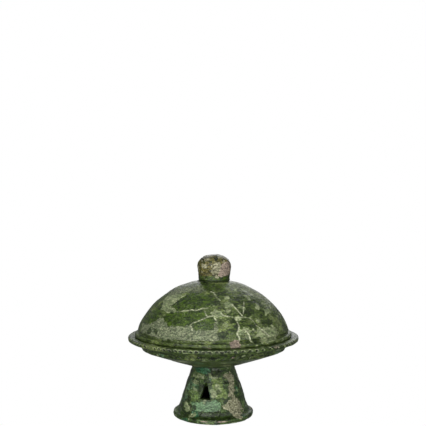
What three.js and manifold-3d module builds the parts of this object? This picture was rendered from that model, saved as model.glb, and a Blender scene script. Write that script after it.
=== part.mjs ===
// A lidded dish of green-glazed clay: a shallow bowl on a hollow foot with three windows,
// and a domed lid with a solid knob. Millimetres, +Z up, with the front of the dish towards -Y.
// The origin is the middle of the foot ring, on the surface that the dish stands on.

import * as THREE from "three";
import { mergeVertices } from "three/addons/utils/BufferGeometryUtils.js";
import { ConvexGeometry } from "three/addons/geometries/ConvexGeometry.js";
import Module from "manifold-3d";

const wasm = await Module();
wasm.setup();

// Fineness of the turned pieces
const TURN_STEPS = 60;
const KNOB_TURN_STEPS = 40;
const LONG_CURVE_STEPS = 8;
const SHORT_CURVE_STEPS = 3;

// Foot: outside, from the resting face up
const FOOT_HEIGHT = 60.2;
const FOOT_REST_INNER_RADIUS = 37.5;
const FOOT_REST_OUTER_RADIUS = 41.5;
const FOOT_LIP_RADIUS = 47.2;
const FOOT_LIP_LEVEL = 4;
const FOOT_LIP_TOP = 6.4;
const FOOT_LIP_TOP_INSET = 1.3;
const FOOT_STEP_RADIUS = 40.3;
const FOOT_STEP_LEVEL = 12;
const FOOT_STEP_WIDTH = 1;
const FOOT_STEP_HEIGHT = 1.1;
const NECK_RADIUS = 24.9;
const NECK_HEIGHT = 3.4;

// Foot: inside
const FOOT_WALL = 7.8;
const FOOT_BORE_RADIUS = 11;
const FOOT_FILLET_HEIGHT = 7;

// Windows cut through the wall of the foot
const WINDOW_COUNT = 3;
const WINDOW_TURN_DEG = 15.5;
const WINDOW_WIDTH = 13;
const WINDOW_SILL = 26;
const WINDOW_OUTER_TOP = 48;
const WINDOW_INNER_TOP = 38.5;

// Bowl
const BOWL_BOTTOM = 7.2;
const BOWL_SHOULDER_RADIUS = 84;
const BOWL_SHOULDER_RISE = 19.6;
const BOWL_BELLY_DROP = 2.1;
const BOWL_WALL = 6.8;
const BOWL_CORNER_RISE = 4.7;
const RIM_LEVEL = 94.2;
const RIM_RADIUS = 100;
const RIM_THICKNESS = 4.6;
const RIM_EDGE_ROUND = 1.8;
const RIM_SEAT_WIDTH = 6;
const RIM_ROOT_RADIUS = 92.5;

// Row of impressions round the edge of the rim
const IMPRESSION_COUNT = 90;
const IMPRESSION_WIDTH = 4.6;
const IMPRESSION_HEIGHT = 3;
const IMPRESSION_DEPTH = 1.2;

// Lid, with its heights counted from the rim that it rests on
const LID_FLANGE_RADIUS = 92;
const LID_FLANGE_LEVEL = 1.9;
const LID_FLANGE_TOP = 4.6;
const LID_FLANGE_ROUND = 1.5;
const LID_GROOVE_RADIUS = 87.4;
const LID_GROOVE_LEVEL = 6;
const LID_DOME_RADIUS = 88.4;
const LID_DOME_LEVEL = 7.8;
const LID_HEIGHT = 64.4;
const LID_COLLAR_HEIGHT = 0.9;
const LID_WALL = 6.9;
const LID_REST_WIDTH = 6.6;

// Knob, standing a little right of the middle of the lid
const KNOB_OFFSET = 1.2;
const KNOB_HEIGHT = 30.9;
const KNOB_BASE_RADIUS = 18.5;
const KNOB_RADIUS = 19.8;
const KNOB_WIDEST_LEVEL = 16;
const KNOB_SEAT_MARGIN = 0.2;

const at = (radius, height) => new THREE.Vector2(radius, height);

function bend(from, pull, to) {
  return new THREE.QuadraticBezierCurve(from, pull, to).getPoints(SHORT_CURVE_STEPS);
}

function sweep(from, pullFrom, pullTo, to) {
  return new THREE.CubicBezierCurve(from, pullFrom, pullTo, to).getPoints(LONG_CURVE_STEPS);
}

// Turns a closed outline, given as points of radius and height, about the Z axis.
function turn(outline, steps) {
  const points = outline.filter((point, i) => i === 0 || point.distanceTo(outline[i - 1]) > 1e-6);
  const onAxis = points[0].x === 0 && points.at(-1).x === 0;
  const closed = onAxis ? points : [...points, points[0].clone()];
  return new THREE.LatheGeometry(closed, steps).rotateX(Math.PI / 2);
}

// Radius of an outline at a height, on the first stretch of it that passes that height.
function radiusAt(points, height) {
  const end = points.findIndex((point, i) => i > 0 && (point.y - height) * (points[i - 1].y - height) <= 0);
  const from = points[end - 1];
  const to = points[end];
  return THREE.MathUtils.mapLinear(height, from.y, to.y, from.x, to.x);
}

function toSolid(geometry) {
  const bare = geometry.clone();
  bare.deleteAttribute("normal");
  bare.deleteAttribute("uv");
  const merged = mergeVertices(bare, 1e-5);
  const corners = merged.index.array;
  const kept = [];
  for (let i = 0; i < corners.length; i += 3) {
    const [a, b, c] = corners.slice(i, i + 3);
    if (a !== b && b !== c && c !== a) kept.push(a, b, c);
  }
  const vertProperties = new Float32Array(merged.attributes.position.array);
  return new wasm.Manifold(new wasm.Mesh({ numProp: 3, vertProperties, triVerts: new Uint32Array(kept) }));
}

function toGeometry(solid) {
  const mesh = solid.getMesh();
  const geometry = new THREE.BufferGeometry();
  geometry.setAttribute("position", new THREE.BufferAttribute(mesh.vertProperties, 3));
  geometry.setIndex(new THREE.BufferAttribute(mesh.triVerts, 1));
  geometry.computeVertexNormals();
  return geometry;
}

function cutAll(geometry, cutters) {
  return toGeometry(cutters.reduce((solid, cutter) => solid.subtract(toSolid(cutter)), toSolid(geometry)));
}

// Bell-shaped outside of the foot, from the step above its lip up to the neck.
function bellOutside() {
  const stepTop = FOOT_STEP_LEVEL + FOOT_STEP_HEIGHT;
  const neckLevel = FOOT_HEIGHT - NECK_HEIGHT;
  const rise = neckLevel - stepTop;
  const foot = at(FOOT_STEP_RADIUS - FOOT_STEP_WIDTH, stepTop);
  const neck = at(NECK_RADIUS, neckLevel);
  return sweep(
    foot,
    at(THREE.MathUtils.lerp(foot.x, neck.x, 0.2), stepTop + 0.28 * rise),
    at(THREE.MathUtils.lerp(foot.x, neck.x, 0.69), stepTop + 0.74 * rise),
    neck,
  );
}

// Inside of the foot, from the resting face up to the bore at its top.
function bellInside() {
  const outside = bellOutside();
  const filletLevel = FOOT_HEIGHT - FOOT_FILLET_HEIGHT;
  const levels = [FOOT_STEP_LEVEL + FOOT_STEP_HEIGHT, 0.7 * FOOT_STEP_LEVEL + 0.3 * filletLevel,
    0.3 * FOOT_STEP_LEVEL + 0.7 * filletLevel, filletLevel];
  const wall = levels.map((level) => at(radiusAt(outside, level) - FOOT_WALL, level));
  return [
    ...bend(at(FOOT_REST_INNER_RADIUS, 0), at(wall[0].x + 2, 0.35 * FOOT_STEP_LEVEL), wall[0]),
    ...new THREE.SplineCurve(wall).getPoints(LONG_CURVE_STEPS),
    ...bend(wall.at(-1), at(wall.at(-1).x, FOOT_HEIGHT), at(FOOT_BORE_RADIUS, FOOT_HEIGHT)),
  ];
}

function pedestalOutline() {
  const lip = at(FOOT_LIP_RADIUS, FOOT_LIP_LEVEL);
  const lipTop = at(FOOT_LIP_RADIUS - FOOT_LIP_TOP_INSET, FOOT_LIP_TOP);
  return [
    ...bend(at(FOOT_REST_OUTER_RADIUS, 0), at(FOOT_LIP_RADIUS, 0.1 * FOOT_LIP_LEVEL), lip),
    ...bend(lip, at(FOOT_LIP_RADIUS, 0.5 * (FOOT_LIP_LEVEL + FOOT_LIP_TOP)), lipTop),
    ...bend(lipTop, at(FOOT_STEP_RADIUS + 0.6, FOOT_LIP_TOP + 1), at(FOOT_STEP_RADIUS, FOOT_STEP_LEVEL)),
    ...bellOutside(),
    at(NECK_RADIUS, FOOT_HEIGHT),
    ...bellInside().reverse(),
  ];
}

// A window's cutter: a three-sided bar pointing up, whose roof drops towards the inside of the foot.
function windowCutter(index) {
  const outerRadius = radiusAt(bellOutside(), WINDOW_OUTER_TOP);
  const innerRadius = radiusAt(bellOutside(), WINDOW_INNER_TOP) - FOOT_WALL;
  const roofDrop = (WINDOW_OUTER_TOP - WINDOW_INNER_TOP) / (outerRadius - innerRadius);
  const nearRoof = WINDOW_SILL + 0.2 * (WINDOW_INNER_TOP - WINDOW_SILL);
  const nearRadius = innerRadius - (WINDOW_INNER_TOP - nearRoof) / roofDrop;
  const corners = [
    new THREE.Vector3(0, -outerRadius, WINDOW_OUTER_TOP),
    new THREE.Vector3(0, -FOOT_LIP_RADIUS, WINDOW_OUTER_TOP),
  ];
  for (const side of [-WINDOW_WIDTH / 2, WINDOW_WIDTH / 2]) {
    const nearSide = THREE.MathUtils.mapLinear(nearRoof, WINDOW_SILL, WINDOW_OUTER_TOP, side, 0);
    corners.push(new THREE.Vector3(side, -nearRadius, WINDOW_SILL));
    corners.push(new THREE.Vector3(nearSide, -nearRadius, nearRoof));
    corners.push(new THREE.Vector3(side, -FOOT_LIP_RADIUS, WINDOW_SILL));
  }
  const angle = THREE.MathUtils.degToRad(-WINDOW_TURN_DEG) + (index * 2 * Math.PI) / WINDOW_COUNT;
  return new ConvexGeometry(corners).rotateZ(angle);
}

function pedestalGeometry() {
  const cutters = Array.from({ length: WINDOW_COUNT }, (_, index) => windowCutter(index));
  return cutAll(turn(pedestalOutline(), TURN_STEPS), cutters);
}

function bowlOutline() {
  const rimUnder = RIM_LEVEL - RIM_THICKNESS;
  const edgeStart = RIM_RADIUS - RIM_EDGE_ROUND;
  const shoulder = at(BOWL_SHOULDER_RADIUS, FOOT_HEIGHT + BOWL_SHOULDER_RISE);
  const neck = at(NECK_RADIUS, FOOT_HEIGHT);
  const corner = at(BOWL_SHOULDER_RADIUS - 0.74 * BOWL_WALL, shoulder.y + BOWL_CORNER_RISE);
  const middle = at(0, FOOT_HEIGHT + BOWL_BOTTOM);
  const belly = neck.clone().lerp(shoulder, 0.3).add(at(0, -BOWL_BELLY_DROP));
  return [
    at(0, FOOT_HEIGHT),
    ...sweep(neck, belly, neck.clone().lerp(shoulder, 0.67), shoulder),
    ...bend(shoulder, at(BOWL_SHOULDER_RADIUS + 4.4, rimUnder), at(RIM_ROOT_RADIUS, rimUnder)),
    ...bend(at(edgeStart, rimUnder), at(RIM_RADIUS, rimUnder), at(RIM_RADIUS, rimUnder + RIM_EDGE_ROUND)),
    ...bend(at(RIM_RADIUS, RIM_LEVEL - RIM_EDGE_ROUND), at(RIM_RADIUS, RIM_LEVEL), at(edgeStart, RIM_LEVEL)),
    ...bend(at(LID_FLANGE_RADIUS - RIM_SEAT_WIDTH, RIM_LEVEL), at(corner.x + 2.4, RIM_LEVEL - 1), corner),
    ...sweep(corner, corner.clone().lerp(middle, 0.3).add(at(0, -5)), at(0.36 * corner.x, middle.y), middle),
  ];
}

// A shallow oval dent pressed into the edge of the rim.
function impressionCutter(index) {
  const dent = new THREE.OctahedronGeometry(1, 0);
  dent.scale(IMPRESSION_WIDTH / 2, IMPRESSION_DEPTH, IMPRESSION_HEIGHT / 2);
  dent.translate(0, -RIM_RADIUS, RIM_LEVEL - RIM_THICKNESS / 2);
  return dent.rotateZ((index * 2 * Math.PI) / IMPRESSION_COUNT);
}

function bowlGeometry() {
  const dents = Array.from({ length: IMPRESSION_COUNT }, (_, index) => impressionCutter(index));
  return cutAll(turn(bowlOutline(), TURN_STEPS), dents);
}

// The lid's outline, with the plane that it rests on at height 0.
function lidOutline() {
  const knobSeatRadius = KNOB_BASE_RADIUS + KNOB_OFFSET + KNOB_SEAT_MARGIN;
  const foot = at(LID_DOME_RADIUS, LID_DOME_LEVEL);
  const crown = at(knobSeatRadius, LID_HEIGHT - LID_COLLAR_HEIGHT);
  const rise = crown.y - LID_DOME_LEVEL;
  const innerFoot = at(LID_DOME_RADIUS - LID_WALL, LID_DOME_LEVEL);
  const innerTop = at(0, LID_HEIGHT - LID_WALL);
  const restInner = at(LID_FLANGE_RADIUS - LID_FLANGE_ROUND - LID_REST_WIDTH, 0);
  const flange = at(LID_FLANGE_RADIUS, LID_FLANGE_LEVEL);
  const groove = at(LID_GROOVE_RADIUS, LID_GROOVE_LEVEL);
  return [
    ...bend(at(LID_FLANGE_RADIUS - LID_FLANGE_ROUND, 0), at(LID_FLANGE_RADIUS, 0), flange),
    ...bend(flange, at(LID_FLANGE_RADIUS, LID_FLANGE_TOP), at(0.5 * (flange.x + groove.x), LID_FLANGE_TOP)),
    groove,
    ...sweep(
      foot,
      at(LID_DOME_RADIUS - 3.3, LID_DOME_LEVEL + 0.315 * rise),
      at(knobSeatRadius + 0.53 * (LID_DOME_RADIUS - knobSeatRadius), LID_DOME_LEVEL + 0.9 * rise),
      crown,
    ),
    at(knobSeatRadius, LID_HEIGHT),
    at(0, LID_HEIGHT),
    ...sweep(
      innerTop,
      at(0.51 * innerFoot.x, innerTop.y),
      at(innerFoot.x - 2.8, LID_DOME_LEVEL + 0.39 * (innerTop.y - LID_DOME_LEVEL)),
      innerFoot,
    ),
    ...bend(innerFoot, at(innerFoot.x, 0.4 * LID_DOME_LEVEL), restInner),
  ];
}

function knobOutline() {
  const widest = at(KNOB_RADIUS, KNOB_WIDEST_LEVEL);
  return [
    at(0, 0),
    ...bend(at(KNOB_BASE_RADIUS, 0), at(KNOB_BASE_RADIUS, 0.45 * KNOB_WIDEST_LEVEL), widest),
    ...sweep(
      widest,
      at(KNOB_RADIUS, THREE.MathUtils.lerp(KNOB_WIDEST_LEVEL, KNOB_HEIGHT, 0.6)),
      at(0.67 * KNOB_RADIUS, KNOB_HEIGHT),
      at(0, KNOB_HEIGHT),
    ),
  ];
}

const finishes = {
  dome: new THREE.MeshStandardMaterial({ color: 0x535f3b, roughness: 0.32, metalness: 0 }),
  knob: new THREE.MeshStandardMaterial({ color: 0x605d3c, roughness: 0.4, metalness: 0 }),
  bowl: new THREE.MeshStandardMaterial({ color: 0x4a5b33, roughness: 0.34, metalness: 0 }),
  pedestal: new THREE.MeshStandardMaterial({ color: 0x475a34, roughness: 0.34, metalness: 0 }),
};

function piece(name, geometry, material) {
  const mesh = new THREE.Mesh(geometry, material);
  mesh.name = name;
  return mesh;
}

const dish = new THREE.Group();
dish.add(piece("dish_pedestal", pedestalGeometry(), finishes.pedestal));
dish.add(piece("dish_bowl", bowlGeometry(), finishes.bowl));

const lid = new THREE.Group();
lid.position.z = RIM_LEVEL;
lid.add(piece("lid_dome", turn(lidOutline(), TURN_STEPS), finishes.dome));
const knob = piece("lid_knob", turn(knobOutline(), KNOB_TURN_STEPS), finishes.knob);
knob.position.set(KNOB_OFFSET, 0, LID_HEIGHT);
lid.add(knob);

const liddedDish = new THREE.Group();
liddedDish.add(dish, lid);

export default liddedDish;
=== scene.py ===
import math

import bmesh
import bpy
import numpy as np
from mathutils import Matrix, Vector


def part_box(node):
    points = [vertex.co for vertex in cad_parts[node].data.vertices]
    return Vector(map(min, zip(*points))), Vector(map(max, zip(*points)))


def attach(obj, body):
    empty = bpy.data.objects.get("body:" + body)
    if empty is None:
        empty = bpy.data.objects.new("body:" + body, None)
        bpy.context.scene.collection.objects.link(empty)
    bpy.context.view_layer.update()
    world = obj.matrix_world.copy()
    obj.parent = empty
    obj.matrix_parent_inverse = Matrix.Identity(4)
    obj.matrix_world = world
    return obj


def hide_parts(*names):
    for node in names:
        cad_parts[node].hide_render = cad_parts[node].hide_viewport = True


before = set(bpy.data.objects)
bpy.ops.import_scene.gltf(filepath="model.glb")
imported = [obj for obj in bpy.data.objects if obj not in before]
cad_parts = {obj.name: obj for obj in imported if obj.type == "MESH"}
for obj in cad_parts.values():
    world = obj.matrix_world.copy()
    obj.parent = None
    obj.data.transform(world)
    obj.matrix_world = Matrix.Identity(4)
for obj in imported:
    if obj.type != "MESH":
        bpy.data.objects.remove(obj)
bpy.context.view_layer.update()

# Outlines are in millimetres, as (radius, level) points, and so are the sizes of marks. A turn is an angle
# about the vertical axis in degrees, 0 at the front and rising to the right.
MM = 0.001
SEED = 41
FULL_TURN = 360

# Levels and widths that the pieces share, from the frame
FOOT_TOP = round(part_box("dish_pedestal")[1][2] / MM, 1)
RIM_RADIUS = round(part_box("dish_bowl")[1][0] / MM, 1)
RIM_LEVEL = round(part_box("dish_bowl")[1][2] / MM, 1)
KNOB_LEVEL = round(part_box("lid_knob")[0][2] / MM, 1)
KNOB_OFFSET = 1.2
NECK_RADIUS = 24.9
FOOT_STEP_LEVEL = 13.1
FOOT_WALL = 7.8
FOOT_WALL_TOP = 53.2
FOOT_BORE_RADIUS = 11
FOOT_REST_INNER_RADIUS = 37.5

# The camera, which stands where the photograph was taken from
PHOTO_SIDE = 426
CAMERA_PLACE = (-0.00035, -0.86, 0.2382)
CAMERA_LENS = 61.44
CAMERA_SENSOR = 36
FOCAL_PIXELS = CAMERA_LENS / CAMERA_SENSOR * PHOTO_SIDE
EYE = np.array(CAMERA_PLACE) / MM
SIGHT_DISTANCES = np.arange(735, 880, 0.02)

# Columns round each turned mesh, which lie closer together at the front
FRONT_DENSITY = 0.42
PEDESTAL_COLUMNS = 720
BOWL_COLUMNS = 900
LID_COLUMNS = 780
KNOB_COLUMNS = 480


# Outlines
def bend(a, pull, b, count):
    t = np.linspace(0, 1, count)[:, None]
    a, pull, b = (np.array(point, float) for point in (a, pull, b))
    return (1 - t) ** 2 * a + 2 * t * (1 - t) * pull + t ** 2 * b


def sweep(a, pull_a, pull_b, b, count):
    t = np.linspace(0, 1, count)[:, None]
    a, pull_a, pull_b, b = (np.array(point, float) for point in (a, pull_a, pull_b, b))
    return (1 - t) ** 3 * a + 3 * t * (1 - t) ** 2 * pull_a + 3 * t ** 2 * (1 - t) * pull_b + t ** 3 * b


def line(a, b, count):
    t = np.linspace(0, 1, count)[:, None]
    return (1 - t) * np.array(a, float) + t * np.array(b, float)


def joined(*stretches):
    points = np.vstack(stretches)
    keep = np.r_[True, np.linalg.norm(np.diff(points, axis=0), axis=1) > 1e-4]
    return points[keep]


def lerp(a, b, t):
    return a + (b - a) * t


def pedestal_outline():
    """A closed ring: up the bell outside, over the top and down the inside of the wall."""
    bell = sweep((39.3, FOOT_STEP_LEVEL), (36.42, 25.34), (29.36, 45.44), (NECK_RADIUS, 56.8), 110)
    outside = joined(
        bend((41.5, 0), (47.2, 0.4), (47.2, 4), 12),
        bend((47.2, 4), (47.2, 5.2), (45.9, 6.4), 7),
        bend((45.9, 6.4), (40.9, 7.4), (40.3, 12), 16),
        bend((40.3, 12), (40.1, FOOT_STEP_LEVEL), (39.3, FOOT_STEP_LEVEL), 5),
        bell,
        line((NECK_RADIUS, 56.8), (NECK_RADIUS, FOOT_TOP), 8),
    )
    wall_levels = np.linspace(FOOT_STEP_LEVEL, FOOT_WALL_TOP, 26)
    wall = np.c_[np.interp(wall_levels, bell[:, 1], bell[:, 0]) - FOOT_WALL, wall_levels]
    inside = joined(
        bend((FOOT_BORE_RADIUS, FOOT_TOP), (wall[-1, 0], FOOT_TOP), wall[-1], 10),
        wall[::-1],
        bend(wall[0], (wall[0, 0] + 2, 4.2), (FOOT_REST_INNER_RADIUS, 0), 12),
    )
    return joined(outside, inside)


def bowl_outline():
    """From the axis out under the bowl, round the rim and back to the axis inside."""
    neck, shoulder = np.array((NECK_RADIUS, FOOT_TOP)), np.array((84, 79.8))
    corner, middle = np.array((78.97, 84.5)), np.array((0, 67.4))
    return joined(
        line((0, FOOT_TOP), neck, 4),
        sweep(neck, lerp(neck, shoulder, 0.3) + (0, -2.1), lerp(neck, shoulder, 0.67), shoulder, 80),
        bend(shoulder, (88.4, 89.6), (92.5, 89.6), 34),
        bend((98.2, 89.6), (RIM_RADIUS, 89.6), (RIM_RADIUS, 91.4), 9),
        line((RIM_RADIUS, 91.4), (RIM_RADIUS, 92.4), 5),
        bend((RIM_RADIUS, 92.4), (RIM_RADIUS, RIM_LEVEL), (98.2, RIM_LEVEL), 9),
        line((98.2, RIM_LEVEL), (86, RIM_LEVEL), 14),
        bend((86, RIM_LEVEL), (81.4, 93.2), corner, 10),
        sweep(corner, lerp(corner, middle, 0.3) + (0, -5), (28.4, 67.4), middle, 38),
    )


def lid_outline():
    """Up from the lid's foot over the dome to the axis, and back down inside. Levels start at the rim."""
    outline = joined(
        bend((90.5, 0), (92, 0), (92, 1.9), 6),
        bend((92, 1.9), (92, 4.6), (89.7, 4.6), 9),
        bend((89.7, 4.6), (87.2, 4.7), (87.4, 6), 6),
        bend((87.4, 6), (87.5, 7.3), (88.4, 7.8), 5),
        sweep((88.4, 7.8), (85.1, 25.35), (56.2, 57.93), (19.9, 63.5), 150),
        bend((19.9, 63.5), (19.2, 63.7), (18.6, 64.4), 5),
        line((18.6, 64.4), (0, 64.4), 4),
        sweep((0, 57.5), (41.57, 57.5), (78.7, 27.18), (81.5, 7.8), 44),
        bend((81.5, 7.8), (81.5, 3.1), (83.9, 0), 6),
        line((83.9, 0), (90.5, 0), 4),
    )
    return outline + (0, RIM_LEVEL)


def knob_outline():
    """From the axis at the knob's base to the axis at its top. Levels start at the base."""
    outline = joined(
        line((0, 0), (17.9, 0), 4),
        bend((17.9, 0), (18.5, 0), (18.55, 1.2), 5),
        bend((18.55, 1.2), (18.6, 8), (19.8, 16), 40),
        sweep((19.8, 16), (19.8, 24.9), (13.3, 30.9), (0, 30.9), 80),
    )
    return outline + (0, KNOB_LEVEL)


# Places on the surface
def silhouette():
    """Rising levels and the outer radius of the whole dish at each."""
    outlines = (pedestal_outline(), bowl_outline(), lid_outline(), knob_outline())
    outside = np.vstack([outline[: np.argmax(outline[:, 1]) + 1] for outline in outlines])
    rising = outside[np.argsort(outside[:, 1], kind="stable")]
    return rising[:, 1], rising[:, 0]


OUTER_LEVELS, OUTER_RADII = silhouette()


def seen(x, y):
    """The turn and level of the surface that the photograph shows at a pixel."""
    ray = np.array((x - PHOTO_SIDE / 2, FOCAL_PIXELS, PHOTO_SIDE / 2 - y)) / FOCAL_PIXELS
    places = EYE + SIGHT_DISTANCES[:, None] * ray
    sideways = places[:, 0] - np.where(places[:, 2] > KNOB_LEVEL, KNOB_OFFSET, 0)
    radii = np.interp(places[:, 2], OUTER_LEVELS, OUTER_RADII, left=0, right=0)
    met = np.hypot(sideways, places[:, 1]) < radii
    if not met.any():
        raise ValueError(f"pixel {x}, {y} doesn't show the dish")
    first = met.argmax()
    return math.degrees(math.atan2(sideways[first], -places[first, 1])), places[first, 2]


def seen_all(shapes):
    """The turns and levels of marks whose corners are pixels of the photograph."""
    return [[seen(x, y) for x, y in shape] for shape in shapes]


def rim_turn(x):
    """The turn at which the photograph shows the rim's edge in a column of pixels."""
    slope = (x - PHOTO_SIDE / 2) / FOCAL_PIXELS
    reach = (-EYE[1] * slope + EYE[0]) / (RIM_RADIUS * math.hypot(1, slope))
    return math.degrees(math.asin(reach) - math.atan(slope))


def turns_of(points, offset=0.0):
    return np.degrees(np.arctan2(points[:, 0] - offset, -points[:, 1]))


def radii_of(points):
    return np.hypot(points[:, 0], points[:, 1])


def on_surface(outline, turn, level, offset=0.0):
    """The point of a turned outside at a turn and level."""
    rising = outline[0, 1] < outline[-1, 1]
    outside = outline[: np.argmax(outline[:, 1]) + 1] if rising else outline
    outer_favour = 1e-3
    near = np.argsort(np.abs(outside[:, 1] - level) - outer_favour * outside[:, 0])[:6]
    radius = outside[near, 0].max()
    angle = math.radians(turn)
    return np.array((radius * math.sin(angle) + offset, -radius * math.cos(angle), level))


# Fields over the surface
def waves(points, length, seed, count=18):
    """A smooth seeded field of roughly -1 to 1, with the given wavelength in millimetres."""
    rng = np.random.default_rng(SEED + seed)
    field = np.zeros(len(points))
    for _ in range(count):
        direction = rng.normal(size=3)
        direction *= rng.uniform(0.6, 1.5) * 2 * math.pi / length / np.linalg.norm(direction)
        field += np.cos(points @ direction + rng.uniform(0, 2 * math.pi))
    return field / math.sqrt(count / 2) / 1.6


def smooth(low, high, value):
    t = np.clip((value - low) / (high - low), 0, 1)
    return t * t * (3 - 2 * t)


def clouds(points, length, seed, low, high):
    """Scattered soft patches, 0 where the field is under low and 1 where it is over high."""
    return smooth(low, high, waves(points, length, seed))


def strongest(parts):
    return np.maximum.reduce(list(parts))


def throwing(points, pitch, depth, seed):
    """Faint rings left by turning, uneven round the piece."""
    height = points[:, 2] + 0.7 * waves(points, 70, seed)
    return depth * np.sin(2 * math.pi * height / pitch) * (0.6 + 0.4 * waves(points, 60, seed + 1))


def spot(points, outline, turn, level, half_width, half_height, lean=0.0, soft=0.5, offset=0.0):
    """1 inside an oval mark on the surface, fading to 0 over its soft outer part."""
    angle = math.radians(turn)
    gap = points - on_surface(outline, turn, level, offset)
    sideways = gap @ np.array((math.cos(angle), math.sin(angle), 0))
    outwards = gap @ np.array((math.sin(angle), -math.cos(angle), 0))
    same_level = 0.1
    upwards = np.sign(gap[:, 2]) * np.hypot(gap[:, 2], np.where(np.abs(gap[:, 2]) > same_level, outwards, 0))
    tilt = math.radians(lean)
    u = (sideways * math.cos(tilt) + upwards * math.sin(tilt)) / half_width
    v = (upwards * math.cos(tilt) - sideways * math.sin(tilt)) / half_height
    return 1 - smooth(1 - soft, 1 + soft * 0.6, np.hypot(u, v))


def path(points, outline, corners, half_width):
    """1 on a thin line through (turn, level) corners on the surface, fading to 0 at half_width."""
    margin = 6
    route = np.array([
        on_surface(outline, lerp(turn_a, turn_b, t), lerp(level_a, level_b, t))
        for (turn_a, level_a), (turn_b, level_b) in zip(corners, corners[1:])
        for t in np.linspace(0, 1, 10)])
    near = np.all((points > route.min(0) - margin) & (points < route.max(0) + margin), axis=1)
    close = points[near]
    best = np.full(len(close), np.inf)
    for a, b in zip(route, route[1:]):
        run = b - a
        along = np.clip(((close - a) @ run) / max(run @ run, 1e-9), 0, 1)
        best = np.minimum(best, np.linalg.norm(close - a - along[:, None] * run, axis=1))
    reach = np.full(len(points), np.inf)
    reach[near] = best
    return 1 - smooth(0.35 * half_width, half_width, reach)


def paths(points, outline, lines, half_width):
    return strongest(path(points, outline, corners, half_width) for corners in lines)


def patch(points, outline, corners, soft, wander, offset):
    """1 inside a closed outline of (turn, level) corners on the surface, with a slightly wandering edge."""
    margin = 4
    middle = np.mean([level for _, level in corners])
    low, high = on_surface(outline, 0, middle - 1.5), on_surface(outline, 0, middle + 1.5)
    across = math.radians(1) * -on_surface(outline, 0, middle)[1]
    along = max(1.0, math.dist(low, high) / 3)
    shape = np.array(corners) * (across, along)
    flat = np.c_[turns_of(points, offset) * across, points[:, 2] * along]
    near = np.all((flat > shape.min(0) - margin) & (flat < shape.max(0) + margin), axis=1)
    x = flat[near, 0] + wander * waves(points[near], 7, 91, 10)
    y = flat[near, 1] + wander * waves(points[near], 7, 92, 10)
    inside = np.zeros(len(x), bool)
    reach = np.full(len(x), np.inf)
    for (ax, ay), (bx, by) in zip(shape, np.roll(shape, -1, axis=0)):
        crosses = (ay > y) != (by > y)
        inside ^= crosses & (x < (bx - ax) * (y - ay) / (by - ay + 1e-12) + ax)
        run = np.array((bx - ax, by - ay))
        t = np.clip(((x - ax) * run[0] + (y - ay) * run[1]) / max(run @ run, 1e-9), 0, 1)
        reach = np.minimum(reach, np.hypot(x - ax - t * run[0], y - ay - t * run[1]))
    result = np.zeros(len(points))
    result[near] = smooth(-soft, soft, np.where(inside, reach, -reach))
    return result


def patches(points, outline, shapes, soft=0.9, wander=0.9, offset=0.0):
    """The patches whose corners are pixels of the photograph."""
    return strongest(patch(points, outline, corners, soft, wander, offset) for corners in seen_all(shapes))


def pits(points, outline, places, flatness, lean=0.0, soft=0.5, offset=0.0):
    """Round pits at pixels of the photograph, each with its radius."""
    return strongest(
        spot(points, outline, *seen(x, y), radius, radius * flatness, lean, soft, offset)
        for x, y, radius in places)


def scattered(points, outline, count, levels, size, seed, offset=0.0):
    """Small seeded round marks over a piece."""
    rng = np.random.default_rng(SEED + seed)
    total = np.zeros(len(points))
    for _ in range(count):
        turn, level = rng.uniform(-180, 180), rng.uniform(*levels)
        radius = rng.uniform(*size)
        centre = on_surface(outline, turn, level, offset)
        near = np.all(np.abs(points - centre) < radius * 1.5, axis=1)
        reach = np.linalg.norm(points[near] - centre, axis=1)
        total[near] = np.maximum(total[near], 1 - smooth(0.5 * radius, radius * 1.2, reach))
    return total


# Turned meshes
def around(pairs, angles):
    """The points that (radius, level) pairs pass through as they turn, row by row."""
    return np.stack([
        pairs[:, :1] * np.sin(angles), -pairs[:, :1] * np.cos(angles),
        np.repeat(pairs[:, 1:], len(angles), axis=1)], axis=-1).reshape(-1, 3)


def side_normals(outline, ring):
    before, after = np.roll(outline, 1, axis=0), np.roll(outline, -1, axis=0)
    if not ring:
        before[0], after[-1] = outline[0], outline[-1]
    along = after - before
    along /= np.linalg.norm(along, axis=1)[:, None]
    return np.c_[along[:, 1], -along[:, 0]]


def mesh_object(name, points, faces):
    """A smooth-shaded object from points in millimetres and arrays of faces with 4 or 3 corners."""
    loops = np.concatenate([group.ravel() for group in faces])
    sizes = np.concatenate([np.full(len(group), group.shape[1]) for group in faces])
    starts = np.concatenate([[0], np.cumsum(sizes)[:-1]])
    mesh = bpy.data.meshes.new(name)
    mesh.vertices.add(len(points))
    mesh.vertices.foreach_set("co", (points * MM).ravel())
    mesh.loops.add(len(loops))
    mesh.loops.foreach_set("vertex_index", loops.astype(np.int32))
    mesh.polygons.add(len(sizes))
    mesh.polygons.foreach_set("loop_start", starts.astype(np.int32))
    mesh.update(calc_edges=True)
    mesh.polygons.foreach_set("use_smooth", np.ones(len(sizes), bool))
    mesh.validate()
    piece = bpy.data.objects.new(name, mesh)
    bpy.context.collection.objects.link(piece)
    return piece


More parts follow.
